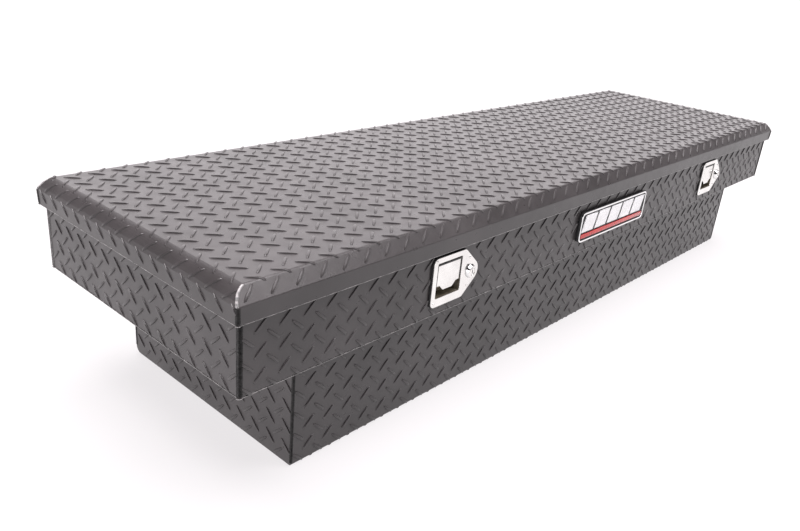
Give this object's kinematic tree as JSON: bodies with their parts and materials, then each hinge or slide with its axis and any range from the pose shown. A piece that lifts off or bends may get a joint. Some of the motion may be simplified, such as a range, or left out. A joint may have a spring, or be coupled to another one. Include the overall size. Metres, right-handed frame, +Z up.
{
  "type": "truck tool box",
  "caption": "Crossover pickup-bed tool box in dark tread plate: wide hinged lid on gas struts, recessed paddle latches with locks, and a narrower lower body that hangs between the bed rails.",
  "frame": {"origin": "on the ground plane under the middle of the box", "axes": "+X along the length, the latched front face looks towards -Y, +Z up"},
  "size_m": [1.778, 0.508, 0.328],
  "materials": {
    "powder_coat": "dark grey textured powder coat on aluminium tread plate",
    "rubber": "matt black",
    "stainless": "polished stainless",
    "zinc_steel": "zinc plated",
    "chrome": "bright",
    "black_paint": "satin black",
    "black_plastic": "satin black",
    "silver_field": "silver white",
    "red_stripe": "gloss red"
  },
  "bodies": {
    "tub": {"lower_tray": "powder_coat", "lower_end_left": "powder_coat", "lower_end_right": "powder_coat", "front_rail": "powder_coat", "rear_rail": "powder_coat", "wing_left": "powder_coat", "wing_right": "powder_coat", "rim_seal": "rubber", "hinge_tub_leaf": "zinc_steel", "hinge_pin": "zinc_steel", "badge_base": "black_plastic", "badge_frame": "chrome", "badge_field": "silver_field", "badge_stripe": "red_stripe", "latch_dish_left": "stainless", "latch_gasket_left": "rubber", "latch_bracket_left": "zinc_steel", "hook_pin_left": "zinc_steel", "paddle_spring_left": "zinc_steel", "lock_cylinder_left": "chrome", "strut_tub_bracket_left": "zinc_steel", "latch_dish_right": "stainless", "latch_gasket_right": "rubber", "latch_bracket_right": "zinc_steel", "hook_pin_right": "zinc_steel", "paddle_spring_right": "zinc_steel", "lock_cylinder_right": "chrome", "strut_tub_bracket_right": "zinc_steel"},
    "lid": {"lid_shell": "powder_coat", "hinge_lid_leaf": "zinc_steel", "lid_rib_left": "zinc_steel", "lid_rib_middle": "zinc_steel", "lid_rib_right": "zinc_steel", "striker_left": "zinc_steel", "strut_lid_bracket_left": "zinc_steel", "striker_right": "zinc_steel", "strut_lid_bracket_right": "zinc_steel"},
    "strut_base_left": {"strut_cylinder_left": "black_paint"},
    "strut_ram_left": {"strut_rod_left": "chrome", "strut_socket_left": "black_plastic"},
    "strut_base_right": {"strut_cylinder_right": "black_paint"},
    "strut_ram_right": {"strut_rod_right": "chrome", "strut_socket_right": "black_plastic"},
    "paddle_body_left": {"paddle_left": "stainless", "paddle_pin_left": "zinc_steel", "paddle_crank_left": "zinc_steel"},
    "hook_body_left": {"hook_left": "zinc_steel"},
    "lock_body_left": {"lock_plug_left": "chrome", "lock_cam_left": "zinc_steel"},
    "paddle_body_right": {"paddle_right": "stainless", "paddle_pin_right": "zinc_steel", "paddle_crank_right": "zinc_steel"},
    "hook_body_right": {"hook_right": "zinc_steel"},
    "lock_body_right": {"lock_plug_right": "chrome", "lock_cam_right": "zinc_steel"}
  },
  "joints": [
    {"name": "lid_hinge", "type": "hinge", "parent": "tub", "child": "lid", "pos_m": [0, 0.2488, 0.2755], "axis": [-1, 0, 0], "range_deg": [0, 75]},
    {"name": "strut_swing_left", "type": "hinge", "parent": "tub", "child": "strut_base_left", "pos_m": [-0.826, 0.195, 0.2], "axis": [-1, 0, 0], "range_deg": [0, 58.2]},
    {"name": "strut_slide_left", "type": "slide", "parent": "strut_base_left", "child": "strut_ram_left", "axis": [0, -0.7718, 0.6359], "range_m": [0, 0.0958]},
    {"name": "strut_swing_right", "type": "hinge", "parent": "tub", "child": "strut_base_right", "pos_m": [0.826, 0.195, 0.2], "axis": [-1, 0, 0], "range_deg": [0, 58.2]},
    {"name": "strut_slide_right", "type": "slide", "parent": "strut_base_right", "child": "strut_ram_right", "axis": [0, -0.7718, 0.6359], "range_m": [0, 0.0958]},
    {"name": "paddle_pull_left", "type": "hinge", "parent": "tub", "child": "paddle_body_left", "pos_m": [-0.4975, -0.24, 0.264], "axis": [-1, 0, 0], "range_deg": [0, 35], "stiffness_Nm_per_rad": 0.3, "springref_deg": -20.05},
    {"name": "hook_turn_left", "type": "hinge", "parent": "tub", "child": "hook_body_left", "pos_m": [-0.4975, -0.2187, 0.2595], "axis": [1, 0, 0], "range_deg": [0, 21.2]},
    {"name": "lock_turn_left", "type": "hinge", "parent": "tub", "child": "lock_body_left", "pos_m": [-0.443, -0.245, 0.2355], "axis": [0, -1, 0], "range_deg": [0, 90]},
    {"name": "paddle_pull_right", "type": "hinge", "parent": "tub", "child": "paddle_body_right", "pos_m": [0.4975, -0.24, 0.264], "axis": [-1, 0, 0], "range_deg": [0, 35], "stiffness_Nm_per_rad": 0.3, "springref_deg": -20.05},
    {"name": "hook_turn_right", "type": "hinge", "parent": "tub", "child": "hook_body_right", "pos_m": [0.4975, -0.2187, 0.2595], "axis": [1, 0, 0], "range_deg": [0, 21.2]},
    {"name": "lock_turn_right", "type": "hinge", "parent": "tub", "child": "lock_body_right", "pos_m": [0.552, -0.245, 0.2355], "axis": [0, -1, 0], "range_deg": [0, 90]}
  ],
  "couplings": [
    {"joint": "strut_swing_left", "follows": "lid_hinge", "ratio": 0.77487},
    {"joint": "strut_slide_left", "follows": "lid_hinge", "m_per_rad": 0.073049},
    {"joint": "strut_swing_right", "follows": "lid_hinge", "ratio": 0.77487},
    {"joint": "strut_slide_right", "follows": "lid_hinge", "m_per_rad": 0.073049},
    {"joint": "hook_turn_left", "follows": "paddle_pull_left", "ratio": 0.6},
    {"joint": "hook_turn_right", "follows": "paddle_pull_right", "ratio": 0.6}
  ]
}
